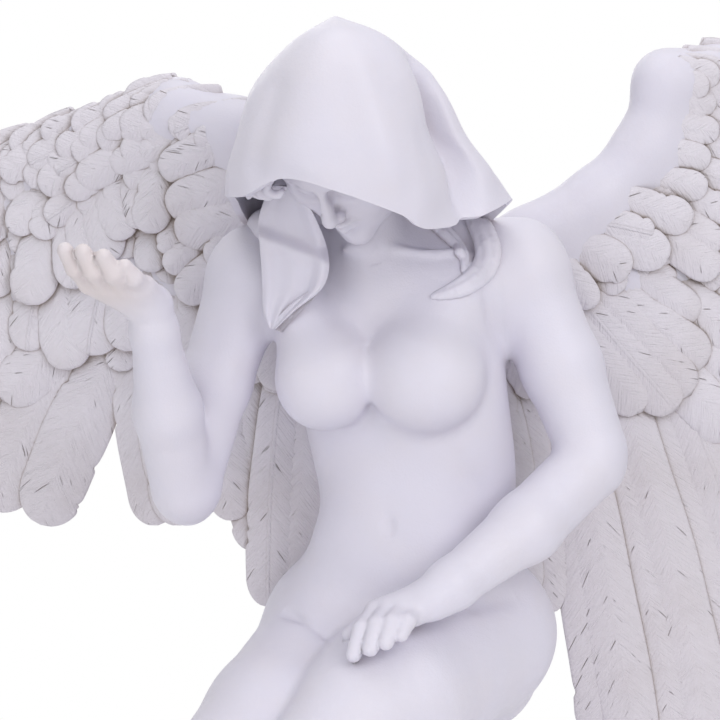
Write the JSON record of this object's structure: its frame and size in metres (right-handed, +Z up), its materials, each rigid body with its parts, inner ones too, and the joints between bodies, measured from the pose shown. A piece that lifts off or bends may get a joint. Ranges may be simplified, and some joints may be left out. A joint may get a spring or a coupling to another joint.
{
  "type": "resin angel figurine",
  "caption": "Seated, hooded angel figurine with spread, layered wings on a rough rock base, one hand raised palm up and the other laid in the lap.",
  "frame": {"origin": "centre of the felt pad's underside, which the figurine stands on", "axes": "+Z up; -Y is the way the figure faces; +X towards her left wing; the longest extent, across the wings, lies along X"},
  "size_m": [0.3233, 0.1634, 0.275],
  "materials": {
    "skin_resin": "smooth bisque white cold-cast resin",
    "cloth_resin": "smooth white cold-cast resin",
    "hair_resin": "white cold-cast resin, combed lines",
    "feather_resin": "white cold-cast resin with a thin warm grey wash in the carved lines",
    "rock_resin": "rough white cold-cast resin with a thin warm grey wash",
    "felt": "thin dark grey pressed felt",
    "dowel_steel": "plain steel rod"
  },
  "bodies": {
    "root": {"rock_base": "rock_resin", "felt_pad": "felt", "figure_body": "skin_resin", "head": "skin_resin", "hood": "cloth_resin", "raised_arm": "skin_resin", "resting_arm": "skin_resin", "left_wing": "feather_resin", "right_wing": "feather_resin", "neck_dowel": "dowel_steel", "raised_arm_dowel": "dowel_steel", "resting_arm_dowel": "dowel_steel", "right_wing_dowels": "dowel_steel", "left_wing_dowels": "dowel_steel", "seat_dowels": "dowel_steel"}
  },
  "joints": []
}
